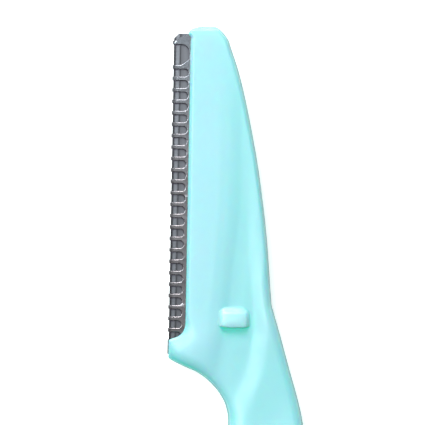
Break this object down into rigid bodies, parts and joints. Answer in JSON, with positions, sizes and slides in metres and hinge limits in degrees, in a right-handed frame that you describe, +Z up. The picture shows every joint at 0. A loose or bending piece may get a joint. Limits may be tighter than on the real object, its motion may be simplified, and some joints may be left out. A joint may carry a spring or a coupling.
{
  "type": "eyebrow razor",
  "caption": "Moulded eyebrow razor with a long straight blade under a folded slotted micro-guard, a finger notch below the head and a slim curved grip.",
  "frame": {"origin": "middle of the base: halfway across and along the razor, on the surface that it lies on", "axes": "+Z up out of the broad face of the head, +Y along the cutting edge towards the tip, -X out of the cutting edge"},
  "size_m": [0.0186, 0.15, 0.0065],
  "materials": {
    "handle_plastic": "mint moulded plastic, satin-gloss and slightly translucent",
    "blade_steel": "ground hardened steel with a fine bevel",
    "guard_steel": "thin rolled steel sheet, etched slots and a folded edge"
  },
  "bodies": {
    "root": {"handle": "handle_plastic", "blade": "blade_steel", "blade_guard": "guard_steel"}
  },
  "joints": []
}
